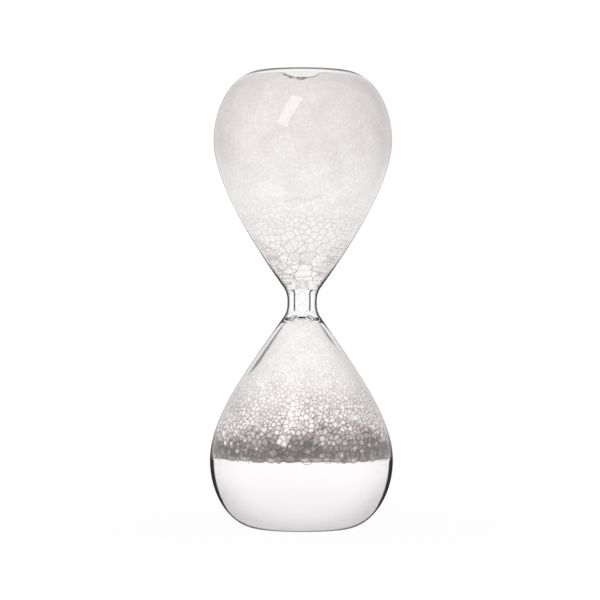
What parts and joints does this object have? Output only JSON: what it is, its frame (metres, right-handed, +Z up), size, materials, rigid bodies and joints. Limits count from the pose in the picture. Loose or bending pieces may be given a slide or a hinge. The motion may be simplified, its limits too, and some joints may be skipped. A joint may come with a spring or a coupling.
{
  "type": "bubble timer",
  "caption": "Free-standing sealed glass hourglass in which a foaming liquid drains through a narrow neck while bubbles rise into the upper bulb.",
  "frame": {"origin": "centre of the foot's land ring, in the plane that the timer stands on", "axes": "+Z up along the axis of the glass; +Y away from the viewer of the picture and +X to their right"},
  "size_m": [0.06, 0.06, 0.15],
  "materials": {
    "glass": "gloss",
    "liquid": "gloss",
    "wet_bubbles": "gloss",
    "foam": "satin",
    "dry_bubbles": "gloss",
    "neck_bubble": "gloss"
  },
  "bodies": {
    "vessel": {"lower_bulb": "glass", "upper_bulb": "glass", "neck_tube": "glass", "seal_tip": "glass", "liquid": "liquid", "bubble_raft": "wet_bubbles", "lower_foam": "foam", "funnel_bubbles": "dry_bubbles", "upper_foam": "foam"},
    "lower_neck_bubble": {"lower_neck_bubble": "neck_bubble"},
    "upper_neck_bubble": {"upper_neck_bubble": "neck_bubble"}
  },
  "joints": [
    {"name": "lower_bubble_rise", "type": "slide", "parent": "vessel", "child": "lower_neck_bubble", "axis": [0, 0, 1], "range_m": [0, 0.0046]},
    {"name": "upper_bubble_rise", "type": "slide", "parent": "vessel", "child": "upper_neck_bubble", "axis": [0, 0, 1], "range_m": [0, 0.0046]}
  ],
  "couplings": [
    {"joint": "upper_bubble_rise", "follows": "lower_bubble_rise", "ratio": 1}
  ]
}
